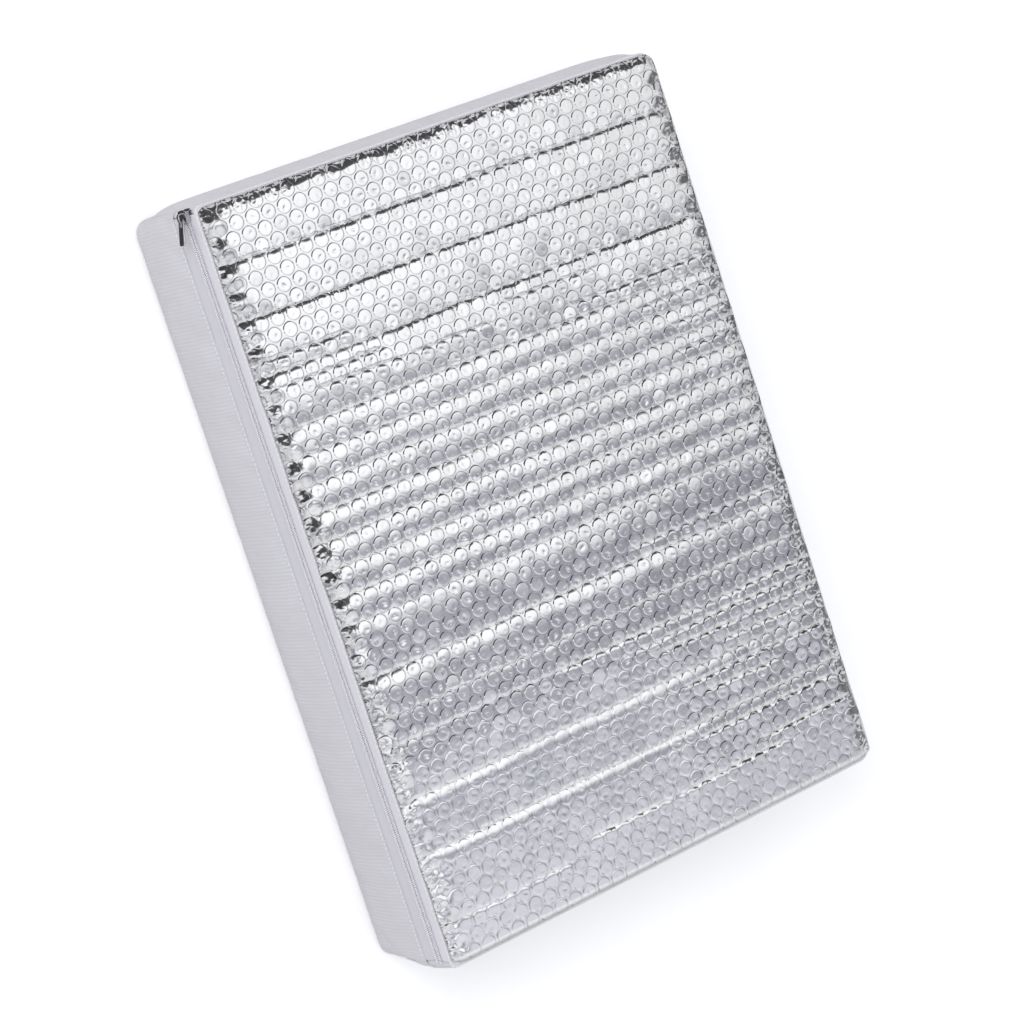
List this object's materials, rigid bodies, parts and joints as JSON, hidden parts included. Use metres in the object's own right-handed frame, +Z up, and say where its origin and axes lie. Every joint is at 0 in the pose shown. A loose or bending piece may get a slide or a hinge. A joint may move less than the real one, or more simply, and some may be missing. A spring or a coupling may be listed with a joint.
{
  "type": "foil-faced foam pad",
  "caption": "Thick rectangular foam pad in a white zipped fabric cover with a silver foil-bubble face. The zip's slider runs along one long side and its pull flips over.",
  "frame": {"origin": "centre of the underside", "axes": "+Z up through the thickness to the foil face, +Y along the length to the end where the closed zip's slider is parked, +X across the width, away from the zip"},
  "size_m": [0.3636, 0.502, 0.096],
  "materials": {
    "foam": "open-cell foam, matt",
    "cover_fabric": "white fabric with a fine grid texture, matt",
    "tape": "smooth woven tape, matt",
    "coil": "white nylon, slight gloss",
    "thread": "white sewing thread",
    "foil": "metallised film, bright",
    "clear_film": "clear film",
    "chrome": "polished plate"
  },
  "bodies": {
    "cover": {"foam_core": "foam", "backing_film": "clear_film", "bubble_sheet": "clear_film", "foil_film": "foil", "edge_binding": "tape", "binding_stitch": "thread", "back_panel": "cover_fabric", "back_seam_stitch": "thread", "side_band": "cover_fabric", "corner_stitch_head": "thread", "corner_stitch_foot": "thread", "zip_side_panel": "cover_fabric", "zip_stitch_lower": "thread", "zip_stitch_upper": "thread", "zip_tape_lower": "tape", "zip_tape_upper": "tape", "zip_coil_lower": "coil", "zip_coil_upper": "coil"},
    "slider": {"slider_body": "chrome"},
    "pull": {"pull_tab": "chrome"}
  },
  "joints": [
    {"name": "slider_travel", "type": "slide", "parent": "cover", "child": "slider", "axis": [0, -1, 0], "range_m": [0, 0.487]},
    {"name": "pull_flip", "type": "hinge", "parent": "slider", "child": "pull", "pos_m": [-0.1804, 0.2451, 0.0764], "axis": [0, 0, -1], "range_deg": [-23, 163]}
  ]
}
